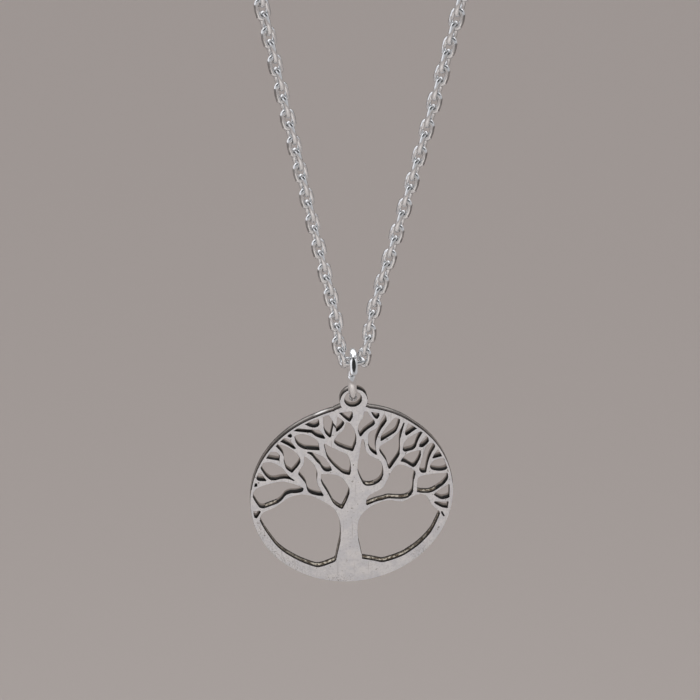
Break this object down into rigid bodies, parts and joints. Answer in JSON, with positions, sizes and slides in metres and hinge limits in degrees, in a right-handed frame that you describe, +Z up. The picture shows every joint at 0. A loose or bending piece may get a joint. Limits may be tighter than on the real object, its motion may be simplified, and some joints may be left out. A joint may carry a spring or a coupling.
{
  "type": "tree of life pendant necklace",
  "caption": "Round flat pendant pierced with a branching tree, hung by an open jump ring from a fine cable-link chain that is closed to a loop with a plain ring clasp.",
  "frame": {"origin": "inner top of the hanging loop, at the underside of the clasp", "axes": "+Z up along the hanging necklace, -Y the front of the pendant, +X to the viewer's right"},
  "size_m": [0.0569, 0.005, 0.2369],
  "materials": {
    "plate_silver": "satin silver, polished edge, darkened in the gaps",
    "ring_silver": "polished silver wire",
    "chain_silver": "bright polished silver wire links",
    "clasp_silver": "polished silver"
  },
  "bodies": {
    "chain": {"chain": "chain_silver", "clasp": "clasp_silver"},
    "ring": {"jump_ring": "ring_silver"},
    "pendant": {"pendant": "plate_silver"}
  },
  "joints": [
    {"name": "ring_swing", "type": "hinge", "parent": "chain", "child": "ring", "pos_m": [0, 0, -0.20769], "axis": [0.9986, -0.0523, 0], "range_deg": [-60, 60]},
    {"name": "pendant_swing", "type": "hinge", "parent": "ring", "child": "pendant", "pos_m": [0, 0, -0.20983], "axis": [0, 1, 0], "range_deg": [-75, 75]}
  ]
}
